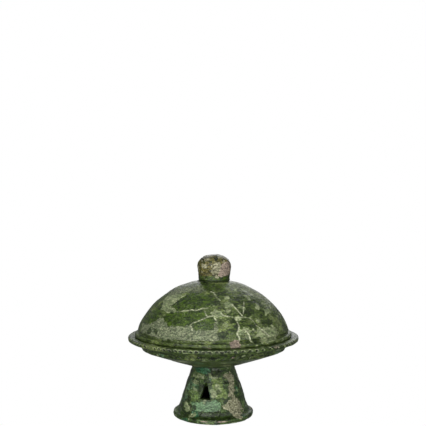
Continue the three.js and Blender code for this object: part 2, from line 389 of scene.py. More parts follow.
def turned(name, outline, columns, relief, offset=0.0, ring=False):
    """A dense turned mesh whose surface is moved outwards by relief(points, normals), in millimetres."""
    area = np.sum(outline[:, 0] * np.roll(outline[:, 1], -1) - np.roll(outline[:, 0], -1) * outline[:, 1])
    if area < 0:
        outline = outline[::-1]
    spread = np.linspace(-math.pi, math.pi, columns, endpoint=False)
    angles = spread - FRONT_DENSITY * np.sin(spread)
    starts_on_axis = not ring and outline[0, 0] == 0
    ends_on_axis = not ring and outline[-1, 0] == 0
    rows = slice(int(starts_on_axis), len(outline) - int(ends_on_axis))
    points = around(outline[rows], angles)
    normals = around(side_normals(outline, ring)[rows], angles)
    points = points + normals * relief(points, normals)[:, None]
    index = np.arange(len(points)).reshape(-1, columns)
    upper = index if ring else index[:-1]
    lower = np.roll(index, -1, axis=0) if ring else index[1:]
    quads = np.stack([upper, np.roll(upper, -1, axis=1), np.roll(lower, -1, axis=1), lower], axis=-1)
    faces = [quads.reshape(-1, 4)]
    if starts_on_axis:
        faces.append(np.c_[np.roll(index[0], -1), index[0], np.full(columns, len(points))])
        points = np.vstack([points, (0, 0, outline[0, 1])])
    if ends_on_axis:
        faces.append(np.c_[index[-1], np.roll(index[-1], -1), np.full(columns, len(points))])
        points = np.vstack([points, (0, 0, outline[-1, 1])])
    return mesh_object(name, points + (offset, 0, 0), faces)


def vertex_points(piece):
    flat = np.empty(len(piece.data.vertices) * 3)
    piece.data.vertices.foreach_get("co", flat)
    return flat.reshape(-1, 3) / MM


def mark(piece, name, values):
    """Keeps a mark's strength at each vertex, where the glaze material reads it."""
    layer = piece.data.attributes.new(name, "FLOAT", "POINT")
    layer.data.foreach_set("value", np.clip(values, 0, 1).astype(np.float32))


# Glaze
GLAZE_DEPTH = 1.4
GLAZE_GAIN = (1.75, 1.75, 1.3, 1)
# States of the glaze, one over the other: the mark that places it, its share over what lies below, the noise
# that breaks its edge and how far, the noise that mottles it between two values, its dark and light colours
GLAZE_STATES = (
    ("olive", 0.7, "middle", 0.7, "middle", (0.4, 0.62), (72, 92, 22), (122, 138, 82)),
    ("teal", 0.85, "middle", 0.6, "fine", (0.4, 0.6), (16, 56, 26), (48, 96, 66)),
    ("blue", 0.85, "middle", 0.6, "middle", (0.38, 0.6), (58, 86, 54), (104, 132, 98)),
    ("pale", 0.85, "streak", 0.7, "middle", (0.38, 0.62), (100, 114, 76), (146, 153, 116)),
    # The dark state also paints shade inside the foot and the lid, in the lid's groove, on the rim under the
    # lid's edge and round the knob's base.
    ("dark", 0.85, "middle", 0.7, "fine", (0.4, 0.65), (12, 22, 2), (38, 56, 10)),
    ("crust", 0.85, "middle", 1.0, "fine", (0.35, 0.62), (92, 92, 62), (150, 147, 122)),
    ("bare", 0.92, "fine", 0.35, "fine", (0.3, 0.7), (118, 104, 90), (146, 131, 119)),
)


def linear(red, green, blue):
    """A shader colour from the 0 to 255 values that it shows as."""
    values = []
    for channel in (red, green, blue):
        share = channel / 255
        values.append(share / 12.92 if share <= 0.04045 else ((share + 0.055) / 1.055) ** 2.4)
    return (*values, 1)


SHADES = {
    "hollow": linear(26, 38, 6),
    "clear_dark": linear(40, 58, 4),
    "clear_light": linear(78, 96, 30),
    "clear_streak": linear(110, 124, 66),
    "grey_dark": linear(78, 90, 62),
    "grey_light": linear(128, 132, 104),
    "grey_speck": linear(64, 76, 56),
    "light_speck": linear(140, 146, 110),
    "dark_speck": linear(14, 24, 4),
    "dust": linear(160, 164, 140),
    # The crack colour also paints highlights on the rim dents' lips. The pit colour also paints shade in the
    # dents and round the knob's base.
    "crack_and_highlight": linear(168, 172, 140),
    "pit_and_shade": linear(10, 14, 5),
}


class Nodes:
    """Short calls for building one material's nodes."""

    def __init__(self, name):
        self.material = bpy.data.materials.new(name)
        self.material.use_nodes = True
        self.tree = self.material.node_tree
        self.shader = self.tree.nodes["Principled BSDF"]
        self.coordinates = self.tree.nodes.new("ShaderNodeTexCoord").outputs["Object"]

    def link(self, source, target):
        if isinstance(source, (int, float, tuple)):
            target.default_value = source
        else:
            self.tree.links.new(source, target)

    def noise(self, scale, detail, roughness, distortion=0.0, shift=(0, 0, 0), stretch=(1, 1, 1)):
        place = self.tree.nodes.new("ShaderNodeMapping")
        self.link(self.coordinates, place.inputs["Vector"])
        place.inputs["Location"].default_value = shift
        place.inputs["Scale"].default_value = stretch
        node = self.tree.nodes.new("ShaderNodeTexNoise")
        self.link(place.outputs["Vector"], node.inputs["Vector"])
        node.inputs["Scale"].default_value = scale
        node.inputs["Detail"].default_value = detail
        node.inputs["Roughness"].default_value = roughness
        node.inputs["Distortion"].default_value = distortion
        return node.outputs["Fac"]

    def cell_edges(self, scale, bent):
        node = self.tree.nodes.new("ShaderNodeTexVoronoi")
        node.feature = "DISTANCE_TO_EDGE"
        node.inputs["Scale"].default_value = scale
        shift = self.tree.nodes.new("ShaderNodeTexNoise")
        shift.inputs["Scale"].default_value = scale * 0.8
        shift.inputs["Detail"].default_value = 3
        self.link(self.coordinates, shift.inputs["Vector"])
        push = self.tree.nodes.new("ShaderNodeVectorMath")
        push.operation = "MULTIPLY_ADD"
        self.link(shift.outputs["Color"], push.inputs[0])
        push.inputs[1].default_value = (bent, bent, bent)
        self.link(self.coordinates, push.inputs[2])
        self.link(push.outputs["Vector"], node.inputs["Vector"])
        return node.outputs["Distance"]

    def step(self, value, low, high, bottom=0.0, top=1.0):
        node = self.tree.nodes.new("ShaderNodeMapRange")
        node.interpolation_type = "SMOOTHSTEP"
        self.link(value, node.inputs["Value"])
        node.inputs["From Min"].default_value = low
        node.inputs["From Max"].default_value = high
        node.inputs["To Min"].default_value = bottom
        node.inputs["To Max"].default_value = top
        return node.outputs["Result"]

    def maths(self, operation, a, b):
        node = self.tree.nodes.new("ShaderNodeMath")
        node.operation = operation
        self.link(a, node.inputs[0])
        self.link(b, node.inputs[1])
        return node.outputs["Value"]

    def times(self, a, b):
        return self.maths("MULTIPLY", a, b)

    def mix(self, share, a, b, blend="MIX"):
        node = self.tree.nodes.new("ShaderNodeMix")
        node.data_type = "RGBA"
        node.blend_type = blend
        self.link(share, node.inputs[0])
        self.link(a, node.inputs[6])
        self.link(b, node.inputs[7])
        return node.outputs[2]

    def attribute(self, name):
        node = self.tree.nodes.new("ShaderNodeAttribute")
        node.attribute_name = name
        return node.outputs["Fac"]

    def ragged(self, name, noise, spread):
        """A mark's attribute with a broken, noisy edge."""
        level = self.attribute(name)
        shifted = self.maths("ADD", level, self.times(self.maths("SUBTRACT", noise, 0.5), spread))
        return self.times(self.step(shifted, 0.34, 0.58), self.step(level, 0.02, 0.2))


def clean_glaze(n, noises, tones):
    """The glaze where nothing lies on it: mottled and streaked, or clear and deep where it is smooth."""
    deep, body, light, vein = (linear(*tone) for tone in tones)
    middle, streak = noises["middle"], noises["streak"]
    colour = n.mix(n.step(middle, 0.40, 0.56), deep, body)
    colour = n.mix(n.step(noises["broad"], 0.50, 0.66, 0.0, 0.75), colour, light)
    colour = n.mix(n.step(streak, 0.53, 0.66, 0.0, 0.8), colour, light)
    colour = n.mix(n.step(streak, 0.62, 0.72, 0.0, 0.7), colour, vein)
    colour = n.mix(n.step(middle, 0.44, 0.33, 0.0, 0.9), colour, SHADES["hollow"])
    clear = n.mix(n.step(middle, 0.38, 0.60), SHADES["clear_dark"], SHADES["clear_light"])
    clear = n.mix(n.step(streak, 0.55, 0.72, 0.0, 0.6), clear, SHADES["clear_streak"])
    colour = n.mix(n.ragged("smooth", middle, 0.35), colour, clear)
    deepened = n.tree.nodes.new("ShaderNodeGamma")
    deepened.inputs["Gamma"].default_value = GLAZE_DEPTH
    n.link(colour, deepened.inputs["Color"])
    return n.mix(1.0, deepened.outputs["Color"], GLAZE_GAIN, "MULTIPLY")


def glaze(name, tones, shift):
    """Mottled, crazed and weathered green lead glaze. The marks on the vertices choose between its states."""
    n = Nodes(name)
    x, y, z = shift
    streaks, long_streaks = (1, 1, 2.6), (1, 1, 3.2)
    noises = {
        "broad": n.noise(46, 5, 0.6, 0.6, shift),
        "middle": n.noise(150, 6, 0.68, 0.6, (y, z, x), streaks),
        "fine": n.noise(560, 5, 0.72, 0.3, (z, x, y)),
        "streak": n.noise(120, 7, 0.74, 1.6, shift, long_streaks),
    }
    middle, fine, streak = noises["middle"], noises["fine"], noises["streak"]
    colour = clean_glaze(n, noises, tones)

    grey = n.ragged("grey", middle, 0.45)
    grey_colour = n.mix(n.step(streak, 0.38, 0.62), SHADES["grey_dark"], SHADES["grey_light"])
    grey_colour = n.mix(n.step(fine, 0.52, 0.36, 0.0, 0.6), grey_colour, SHADES["grey_speck"])
    colour = n.mix(n.times(grey, 0.9), colour, grey_colour)

    crazed = n.times(n.step(n.cell_edges(210, 0.0045), 0.06, 0.012), n.step(noises["broad"], 0.40, 0.62))
    colour = n.mix(n.times(crazed, 0.35), colour, linear(*tones[3]))

    shapes = {}
    for state, share, edge, spread, mottle, (low, high), dark, light in GLAZE_STATES:
        shapes[state] = n.ragged(state, noises[edge], spread)
        two_toned = n.mix(n.step(noises[mottle], low, high), linear(*dark), linear(*light))
        colour = n.mix(n.times(shapes[state], share), colour, two_toned)

    colour = n.mix(n.step(fine, 0.60, 0.72, 0.0, 0.4), colour, SHADES["light_speck"])
    colour = n.mix(n.step(fine, 0.41, 0.30, 0.0, 0.75), colour, SHADES["dark_speck"])
    colour = n.mix(n.step(n.noise(1900, 3, 0.7), 0.62, 0.75, 0.0, 0.22), colour, SHADES["dust"])
    # The pale crack colour also lays painted highlights on the dent lips. The near-black pit colour also lays
    # painted shade in the dents and round the knob's base.
    colour = n.mix(n.times(n.attribute("crack_and_highlight"), n.step(fine, 0.25, 0.5, 0.65, 1.0)), colour, SHADES["crack_and_highlight"])
    colour = n.mix(n.times(n.attribute("pit_and_shade"), 0.95), colour, SHADES["pit_and_shade"])

    shade = n.step(n.noise(260, 6, 0.75, 0.8, (z, y, x), streaks), 0.36, 0.64, 0.4, 1.45)
    shaded = n.tree.nodes.new("ShaderNodeVectorMath")
    shaded.operation = "SCALE"
    n.link(colour, shaded.inputs[0])
    n.link(n.times(shade, n.step(fine, 0.3, 0.7, 0.65, 1.35)), shaded.inputs["Scale"])
    n.link(shaded.outputs["Vector"], n.shader.inputs["Base Color"])

    dull = n.maths("MAXIMUM", n.maths("MAXIMUM", shapes["bare"], shapes["crust"]), n.times(grey, 0.7))
    rough = n.maths("ADD", n.step(middle, 0.35, 0.7, 0.3, 0.5), n.times(dull, 0.35))
    n.link(rough, n.shader.inputs["Roughness"])
    n.shader.inputs["Specular IOR Level"].default_value = 0.35

    height = n.maths("ADD", n.times(middle, 0.55), n.times(fine, 0.35))
    height = n.maths("SUBTRACT", height, n.times(n.step(fine, 0.44, 0.30), 0.25))
    height = n.maths("SUBTRACT", height, n.times(crazed, 0.12))
    bump = n.tree.nodes.new("ShaderNodeBump")
    bump.inputs["Strength"].default_value = 0.6
    bump.inputs["Distance"].default_value = 0.0012
    n.link(height, bump.inputs["Height"])
    n.link(bump.outputs["Normal"], n.shader.inputs["Normal"])
    return n.material


def dress(piece, material, body, node):
    piece.data.materials.append(material)
    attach(piece, body)
    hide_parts(node)


# Pedestal. The corners of its marks are pixels of the photograph, and its pits are pixels with a radius.
FOOT_TEAL = [
    [(195, 367.5), (204, 367.5), (211, 369), (211, 372.5), (204, 374), (197, 371.5)],
    [(192, 411), (198, 411), (200, 416), (195, 418), (191, 416)],
    [(234, 388), (237, 387), (238, 392), (235, 394)],
]
FOOT_DARK = [
    [(211.5, 368.3), (218, 368.3), (222, 370), (221, 377), (212, 377), (211, 373)],
    [(223, 379.5), (227, 379.5), (228, 384), (224, 384)],
    [(223, 398.5), (229, 398.5), (229.5, 403), (225, 404.5), (222, 402)],
    [(185.5, 399.5), (188, 396), (191.5, 395.5), (191, 400), (190.5, 402.5), (186, 402.3)],
    [(200, 392), (203, 385), (206, 387), (201, 393)],
    [(198, 413.5), (210, 413), (222, 412), (229, 412), (233, 418.5), (226, 421), (210, 421), (198, 419)],
    [(182, 412), (190, 411.5), (190, 416), (184, 416.5)],
    [(236, 396), (240, 396), (241, 400), (237, 399)],
    [(183, 403), (182, 407), (179, 405)],
    [(189, 403), (192, 404), (191, 407), (188, 406)],
]
FOOT_BLUE = [
    [(192, 378), (193.5, 384), (191, 389.5), (186, 389)],
    [(192, 402), (200, 402.3), (212, 401), (218, 400), (221.5, 404), (219.5, 410), (214, 412), (206, 411),
     (199, 412.5), (193, 411), (191.5, 406)],
    [(187, 392), (187, 399), (183, 400)],
    [(209.5, 377.5), (212, 378), (211.5, 382), (209.5, 381)],
    [(194, 383), (199, 384), (198.5, 391), (194, 391)],
]
FOOT_PALE = [
    [(193, 374), (198, 373.5), (205, 375.5), (204, 378.5), (198, 378), (193, 377)],
    [(192, 379.5), (199, 380.5), (199, 384), (193, 383)],
    [(210, 388.5), (216, 390), (217, 396), (213, 399), (211, 396)],
    [(184, 404), (191, 405), (192, 411.5), (186, 411.5)],
    [(208.2, 373), (211, 373.5), (210.8, 377), (208.5, 376.8)],
    [(208, 376), (212, 376.2), (212, 377.6), (209, 378)],
]
FOOT_OLIVE = [
    [(212, 378), (222, 378.5), (223, 386), (226, 392), (228, 398), (214, 398), (212, 390)],
]
FOOT_CRUST = [
    [(222.5, 373.5), (229, 372), (234, 376), (233.5, 384), (234, 392), (236, 398), (241, 402.5),
     (243.5, 409), (242, 415.5), (238, 419.5), (233, 416), (230, 412), (226, 409), (222, 405.5), (226, 404),
     (231, 400), (229, 395), (228, 388), (229, 382), (227, 378), (223, 376.5)],
]
FOOT_CRACKS = [
    [(193.5, 410.5), (192.5, 413.5), (191, 416.3), (188.5, 420)],
    [(211.8, 399.6), (217, 399.4), (222, 399), (221.6, 403), (223.3, 405.8), (220.3, 408.8), (218.2, 413.5),
     (217.2, 417.5), (214.8, 422)],
    [(222, 373), (224, 374), (227.5, 372.6)],
]
FOOT_PITS = [
    (211, 369.4, 1), (223.6, 373.3, 1.3), (225.5, 381.8, 1.6), (232.4, 383.5, 0.9), (236, 417, 1.3),
    (243, 409.3, 1.1), (229.4, 410.5, 0.9), (213.2, 412.6, 0.9), (237.6, 414.6, 0.9), (243, 406, 0.9),
    (211.5, 395.5, 0.7), (190.5, 397.5, 1), (238.5, 402.5, 0.8),
]
WINDOW_COUNT = 3
WINDOW_TURN = -15.5
WINDOW_HALF_WIDTH = 6.5
WINDOW_SILL = 26
WINDOW_TOP = 48


def pedestal_pits(points, outline):
    made = pits(points, outline, FOOT_PITS, 0.8, 20, 0.4)
    return np.maximum(made, scattered(points, outline, 90, (8, 58), (0.4, 1.0), 61))


def pedestal_relief(points, normals):
    outline = pedestal_outline()
    outside = normals[:, 0] * points[:, 0] + normals[:, 1] * points[:, 1] > 0
    rough = 0.22 * waves(points, 16, 1) + 0.1 * waves(points, 4.5, 2, 26) + throwing(points, 4.6, 0.1, 3)
    cracks = paths(points, outline, seen_all(FOOT_CRACKS), 1.1)
    crust = spot(points, outline, 40, 34, 7, 20, 0, 0.6) * waves(points, 5, 9)
    marked = rough - 0.9 * pedestal_pits(points, outline) - 0.45 * cracks + 0.3 * crust
    return np.where(outside, marked, 0.3 * rough) * smooth(0.0, 1.2, points[:, 2])


def window_cutter(turn):
    """A pointed bar that tapers inwards, like a knife cut through the clay."""
    outer, inner_tip, inner_sill, inner_slope = -47.2, -32.2, -13.6, (-15.8, 28.5)
    corners = [(0, inner_tip, WINDOW_TOP), (0, outer, WINDOW_TOP)]
    for side in (-WINDOW_HALF_WIDTH, WINDOW_HALF_WIDTH):
        corners += [(side, inner_sill, WINDOW_SILL), (side * 0.89, *inner_slope), (side, outer, WINDOW_SILL)]
    angle = math.radians(turn)
    sin, cos = math.sin(angle), math.cos(angle)
    spin = np.array([[cos, -sin, 0], [sin, cos, 0], [0, 0, 1]])
    mesh = bpy.data.meshes.new("window_cutter")
    mesh.from_pydata([tuple(point) for point in np.array(corners) @ spin.T * MM], [], [])
    cutter = bpy.data.objects.new("window_cutter", mesh)
    bpy.context.collection.objects.link(cutter)
    solid = bmesh.new()
    solid.from_mesh(mesh)
    bmesh.ops.convex_hull(solid, input=solid.verts)
    bmesh.ops.recalc_face_normals(solid, faces=solid.faces)
    solid.to_mesh(mesh)
    solid.free()
    return cutter


def cut(piece, cutters):
    for cutter in cutters:
        modifier = piece.modifiers.new("cut", "BOOLEAN")
        modifier.object = cutter
        modifier.operation = "DIFFERENCE"
        modifier.solver = "EXACT"
    evaluated = piece.evaluated_get(bpy.context.evaluated_depsgraph_get())
    shape = bpy.data.meshes.new_from_object(evaluated)
    piece.modifiers.clear()
    piece.data = shape
    for cutter in cutters:
        bpy.data.objects.remove(cutter)


def make_pedestal():
    outline = pedestal_outline()
    pedestal = turned("pedestal", outline, PEDESTAL_COLUMNS, pedestal_relief, ring=True)
    cut(pedestal, [window_cutter(WINDOW_TURN + FULL_TURN / WINDOW_COUNT * i) for i in range(WINDOW_COUNT)])
    points = vertex_points(pedestal)
    wall_middles = np.interp(
        points[:, 2], [0, FOOT_STEP_LEVEL, 24.4, 40.8, FOOT_WALL_TOP, FOOT_TOP], [37, 34, 31, 26, 20, 14])
    outside = radii_of(points) > wall_middles
    behind = points[:, 1] > 0
    mark(pedestal, "pit_and_shade", pedestal_pits(points, outline) * outside)
    mark(pedestal, "crack_and_highlight", 0.5 * paths(points, outline, seen_all(FOOT_CRACKS), 0.8))
    # The whole inside of the hollow foot is painted shade, at 0.9 of the dark state.
    mark(pedestal, "dark", 0.9 * ~outside + outside * strongest([
        patches(points, outline, FOOT_DARK), 0.5 * clouds(points, 15, 12, 0.3, 1.0)]))
    mark(pedestal, "teal", outside * strongest([
        patches(points, outline, FOOT_TEAL), 0.5 * clouds(points, 22, 15, 0.7, 1.2)]))
    mark(pedestal, "blue", outside * strongest([
        patches(points, outline, FOOT_BLUE), 0.7 * clouds(points, 26, 13, 0.5, 1.1) * (points[:, 1] > -20)]))
    mark(pedestal, "olive", patches(points, outline, FOOT_OLIVE) * outside)
    mark(pedestal, "pale", outside * strongest([
        patches(points, outline, FOOT_PALE), 0.55 * clouds(points, 14, 14, 0.4, 1.1)]))
    mark(pedestal, "crust", outside * strongest([
        patches(points, outline, FOOT_CRUST, 1.4, 1.4), 0.7 * clouds(points, 24, 16, 0.7, 1.2) * behind]))
    mark(pedestal, "bare", strongest([
        points[:, 2] < 0.5, spot(points, outline, -13, 4.6, 5, 0.7),
        0.8 * spot(points, outline, 12, 4.4, 8, 0.7)]))
    tones = (30, 47, 14), (66, 84, 44), (112, 127, 92), (122, 142, 112)
    material = glaze("pedestal_glaze", tones, (0.31, 0.12, 0.55))
    dress(pedestal, material, "dish", "dish_pedestal")


# Bowl. The dents at the front are at columns of pixels of the photograph.
FRONT_DENTS = (
    154.3, 158.6, 163.5, 169.2, 175.5, 180.1, 184.1, 190.7, 196.3, 203.6, 210, 216.8, 222, 229.4, 235.6,
    243.3, 250.7, 257.1, 263.3, 270.8, 277.8, 284,
)
OTHER_DENTS = (54.8, 317.5)
DENT_STEP = 4.0
DENT_DEPTH = 1.15
ZIGZAG_STEP = 5.0
ZIGZAG_LEVEL = 83.0
ZIGZAG_HALF_HEIGHT = 2.35
ZIGZAG_RADIUS = 86
BRICK_SPOT = (233, 358)


def rim_relief(points):
    """How far the pressed dents round the rim's edge move it, with painted shade in their middles and a
    painted highlight on their upper lips.
    """
    front = [rim_turn(x) for x in FRONT_DENTS]
    rng = np.random.default_rng(SEED + 5)
    rest = np.arange(*OTHER_DENTS, DENT_STEP)
    rest = rest + rng.uniform(-0.5, 0.5, len(rest))
    turn = turns_of(points)
    edge = radii_of(points) > 95.5
    depth, middle, lip_highlight = (np.zeros(len(points)) for _ in range(3))
    for centre in np.r_[front, rest]:
        half_width = rng.uniform(1.7, 2.3)
        half_height = rng.uniform(1.2, 1.6)
        level = RIM_LEVEL - 2.2 + rng.uniform(-0.25, 0.25)
        lean = rng.uniform(0.1, 0.5)
        across = np.radians((turn - centre + FULL_TURN / 2) % FULL_TURN - FULL_TURN / 2) * RIM_RADIUS
        near = edge & (np.abs(across) < 4)
        u = (across[near] + lean * (points[near, 2] - level)) / half_width
        v = (points[near, 2] - level) / half_height
        far = np.hypot(u, v)
        hollow = np.clip(1 - far ** 2, 0, 1)
        raised = np.exp(-((far - 1.15) / 0.24) ** 2)
        depth[near] = np.minimum(depth[near], -DENT_DEPTH * hollow ** 0.7) + 0.16 * raised * (v > -0.2)
        # Painted shade in each dent's hollow, and a painted highlight on the upper part of its raised lip.
        middle[near] = np.maximum(middle[near], smooth(0.1, 0.75, hollow))
        lip_highlight[near] = np.maximum(lip_highlight[near], raised * smooth(-0.3, 0.6, v + 0.4 * u))
    return depth, middle, lip_highlight


def zigzag_groove(points):
    """How deep in the incised zigzag under the rim each point lies, from 0 to 1."""
    turn = turns_of(points)
    wobble = 0.3 * np.sin(np.radians(turn * 7)) + 0.2 * np.sin(np.radians(turn * 23 + 40))
    phase = ((turn + 0.9 + wobble) / ZIGZAG_STEP) % 1
    level = ZIGZAG_LEVEL + ZIGZAG_HALF_HEIGHT * (2 * np.abs(2 * phase - 1) - 1)
    slope = ZIGZAG_HALF_HEIGHT * 4 / (math.radians(ZIGZAG_STEP) * ZIGZAG_RADIUS)
    reach = np.abs(points[:, 2] - level) / math.hypot(1, slope)
    radius = radii_of(points)
    band = (radius > 80) & (radius < 91) & (points[:, 2] > 79) & (points[:, 2] < 87)
    return np.where(band, 1 - smooth(0.2, 0.75, reach), 0)


def bowl_relief(points, normals):
    depth = rim_relief(points)[0]
    rough = 0.2 * waves(points, 20, 21) + 0.07 * waves(points, 4.5, 22, 26) + throwing(points, 3.1, 0.06, 23)
    edge = radii_of(points) > 95
    return np.where(edge, 0.5 * rough, rough) + depth - 0.5 * zigzag_groove(points)


def make_bowl():
    outline = bowl_outline()
    bowl = turned("bowl", outline, BOWL_COLUMNS, bowl_relief)
    points = vertex_points(bowl)
    radius, level = radii_of(points), points[:, 2]
    _, dent_shade, dent_highlight = rim_relief(points)
    # The dents' middles are painted shade, in the pit colour, and their upper lips are a painted highlight,
    # in the crack colour.
    mark(bowl, "pit_and_shade", strongest([
        0.8 * dent_shade, 0.62 * zigzag_groove(points),
        scattered(points, outline, 50, (62, 80), (0.4, 0.9), 71)]))
    mark(bowl, "crack_and_highlight", 0.55 * dent_highlight)
    # The bowl's underside inside the foot is painted shade. The rim's top inside radius 93, just outside the
    # lid's edge, is a painted shadow cast by the lid.
    mark(bowl, "dark", strongest([
        0.7 * (level < 61.5) * (radius < 40), 0.5 * clouds(points, 26, 24, 0.3, 1.0),
        0.75 * spot(points, outline, 18, 70, 14, 3.5), 0.7 * spot(points, outline, -12, 66, 12, 2.5),
        0.8 * ((level > 93.4) & (radius < 93))]))
    mark(bowl, "blue", 0.55 * clouds(points, 34, 25, 0.4, 1.1) * (level < 84))
    mark(bowl, "pale", strongest([
        spot(points, outline, -34, 74, 22, 4, 8), 0.6 * clouds(points, 16, 26, 0.5, 1.2),
        0.7 * spot(points, outline, 40, 76, 16, 3)]))
    worn_edge = spot(points, outline, 43, 93.6, 6, 1.6)
    mark(bowl, "crust", 0.8 * worn_edge + 0.3 * clouds(points, 11, 27, 0.8, 1.3))
    mark(bowl, "bare", strongest([
        spot(points, outline, *seen(*BRICK_SPOT), 2.4, 1.3), spot(points, outline, 44, 92.4, 4.2, 1.0)]))
    tones = (33, 49, 14), (72, 88, 45), (113, 121, 88), (126, 138, 102)
    dress(bowl, glaze("bowl_glaze", tones, (0.77, 0.41, 0.13)), "dish", "dish_bowl")


# Lid. The corners of its marks are pixels of the photograph. Those of the cracks behind are turns and levels.
LID_SMOOTH = [
    [(172, 306.3), (175, 302.5), (180, 298), (186, 294.4), (197, 293), (208, 294.5), (214, 298), (215, 305),
     (207, 308), (200, 308.5), (190, 310.3), (177, 311.3)],
    [(164, 318), (165.5, 314.5), (168, 312.5), (180, 311.7), (192, 311.2), (203, 310.8), (205, 312.5),
     (206.5, 316.5), (203, 318.5), (197, 322), (191, 323.8), (186, 325.5), (182, 326.8), (177, 325.8),
     (168, 325.6), (167.5, 323)],
    [(192, 324.5), (198, 322.5), (206, 318), (210, 316), (214, 317), (216.5, 322), (217, 330), (212, 330.5),
     (206, 330), (198, 328.5), (193, 329)],
    [(148, 318.5), (150, 315), (153, 310.5), (158, 308), (160.5, 309.5), (159, 314), (157, 320),
     (152, 322.5), (149.5, 324)],
    [(203, 283.5), (214, 284), (228, 284), (229, 288), (222, 290.5), (210, 291), (204, 287.5)],
]
LID_BLOTS = [
    [(236, 297.5), (240, 298), (241, 301), (238, 302), (235, 300)],
    [(221, 306), (224, 307.5), (227, 310), (226, 312), (223, 310)],
    [(226, 313), (230, 313.5), (229, 316), (226, 315)],
    [(261, 321), (266, 320), (272, 320), (274, 323), (268, 325), (262, 324)],
    [(218, 333), (223, 332), (228, 334), (225, 337), (220, 339), (218, 337)],
    [(249, 325), (256, 323), (259, 326), (256, 330), (251, 328)],
    [(236, 323), (239, 324), (239, 328), (236, 329), (234, 326)],
    [(247, 336), (251, 335), (253, 338), (249, 340)],
    [(228, 330), (234, 329), (236, 332), (231, 334)],
    [(208, 295.5), (213, 295), (213, 298), (209, 298.5)],
    [(243, 311), (250, 308), (255, 311), (253, 316), (246, 317)],
    [(147, 330), (151, 327), (153, 330), (150, 335), (147, 335)],
    [(154, 329), (157, 329.5), (156.5, 335), (154, 335)],
    [(214, 300), (221, 301), (220, 305), (215, 305)],
    [(231, 319), (235, 320), (234, 324), (230, 323)],
    [(254, 337), (262, 339), (260, 342), (252, 341)],
]
LID_GREY = [
    [(143, 322), (149.5, 324.5), (157, 320), (163, 317), (167, 324), (168, 326), (182, 327.2), (190, 325),
     (192, 329.4), (206, 330.8), (217, 331), (218, 337), (219, 341), (200, 341.5), (180, 340.5), (160, 339),
     (147, 335), (141, 330)],
    [(228, 283), (240, 284), (250, 288), (262, 296), (270, 304), (266, 303), (256, 296), (244, 290),
     (232, 288)],
    [(174, 290), (190, 286), (203, 287), (206, 291), (192, 291.5), (180, 294), (170, 300), (163, 304)],
    [(214, 322), (217, 322), (217.5, 331), (215, 331)],
]
LID_PALE = [
    [(165, 298), (176, 294), (183, 295), (175, 302), (171, 306.5), (176.5, 311.8), (166, 312.6), (161, 309),
     (164, 303)],
    [(258, 328.5), (266, 326.5), (275, 328), (279, 334), (278, 340), (268, 343), (259, 341.5), (256, 336)],
    [(211, 312), (215, 309.5), (221, 311), (224, 315), (219, 318), (214, 317)],
    [(224, 303), (229, 301.5), (234, 304), (231, 307.5), (225, 306.5)],
    [(238, 330), (246, 328), (252, 330), (250, 333), (243, 333), (238, 336)],
    [(263, 309), (268, 308), (271, 312), (266, 315)],
]
LID_CLAY = [
    [(229, 343), (234, 340), (240, 341), (240, 346), (237, 349.5), (232, 349)],
]
LID_CRACKS = [
    [(177, 311.4), (184, 310.6), (192, 309.6), (197, 310.2), (202, 308), (208, 307.5)],
    [(190, 325), (193, 322.6), (197, 321.3), (203, 318.8), (208, 316.6), (213, 315.5)],
    [(205, 311.5), (206, 314.5), (207.5, 316.5)],
    [(214, 317), (216.5, 320.5), (216.8, 325), (217, 331)],
    [(190, 325), (191.5, 327), (192, 330)],
    [(221, 313), (224, 315.4), (230, 316.4), (235, 317.2), (241, 317), (246, 317), (250, 317.8),
     (252.5, 320)],
    [(231.5, 304), (235, 307.5), (239, 312), (243, 316.4)],
    [(235.5, 318), (237, 321.5), (239, 326), (238.5, 330), (237, 334), (239.5, 338), (239, 341)],
    [(243.5, 301), (243.3, 307), (243, 313)],
    [(252.5, 320), (256, 325), (261, 329), (266, 333), (269, 336)],
    [(246, 331), (249, 335), (250, 340), (252, 342)],
    [(211, 291.5), (214, 292.5), (216, 296), (220, 300)],
    [(172, 306.5), (177, 311.4)],
    [(175, 302.5), (180, 298), (186, 294.5)],
]
LID_FRACTURE = [
    [(216.5, 321), (217, 331), (217.6, 337.5), (219, 341)],
]
LID_BACK_CRACKS = [
    [(96, 104), (102, 118), (113, 127), (119, 141), (131, 150)],
    [(113, 127), (128, 124), (146, 130), (166, 127)],
    [(-84, 105), (-93, 116), (-90, 131), (-101, 143)],
    [(-93, 116), (-112, 120), (-131, 115), (-150, 121), (-172, 119)],
    [(-131, 115), (-136, 106), (-133, 101)],
]


def lid_cracks(points, outline, half_width):
    return paths(points, outline, seen_all(LID_CRACKS) + LID_BACK_CRACKS, half_width)


def lid_pits(points, outline):
    return scattered(points, outline, 120, (102, 155), (0.4, 1.0), 34)


def lid_relief(points, normals):
    outline = lid_outline()
    outside = normals[:, 2] > -0.3
    rough = 0.3 * waves(points, 26, 31) + 0.07 * waves(points, 4.5, 32, 26) + throwing(points, 3.6, 0.07, 33)
    fracture = paths(points, outline, seen_all(LID_FRACTURE), 1.0)
    marks = 0.5 * fracture + 0.25 * lid_cracks(points, outline, 0.9) + 0.5 * lid_pits(points, outline)
    calm = smooth(1.0, 8.0, points[:, 2] - RIM_LEVEL)
    return np.where(outside, rough * (0.3 + 0.7 * calm) - marks, 0.3 * rough * calm)


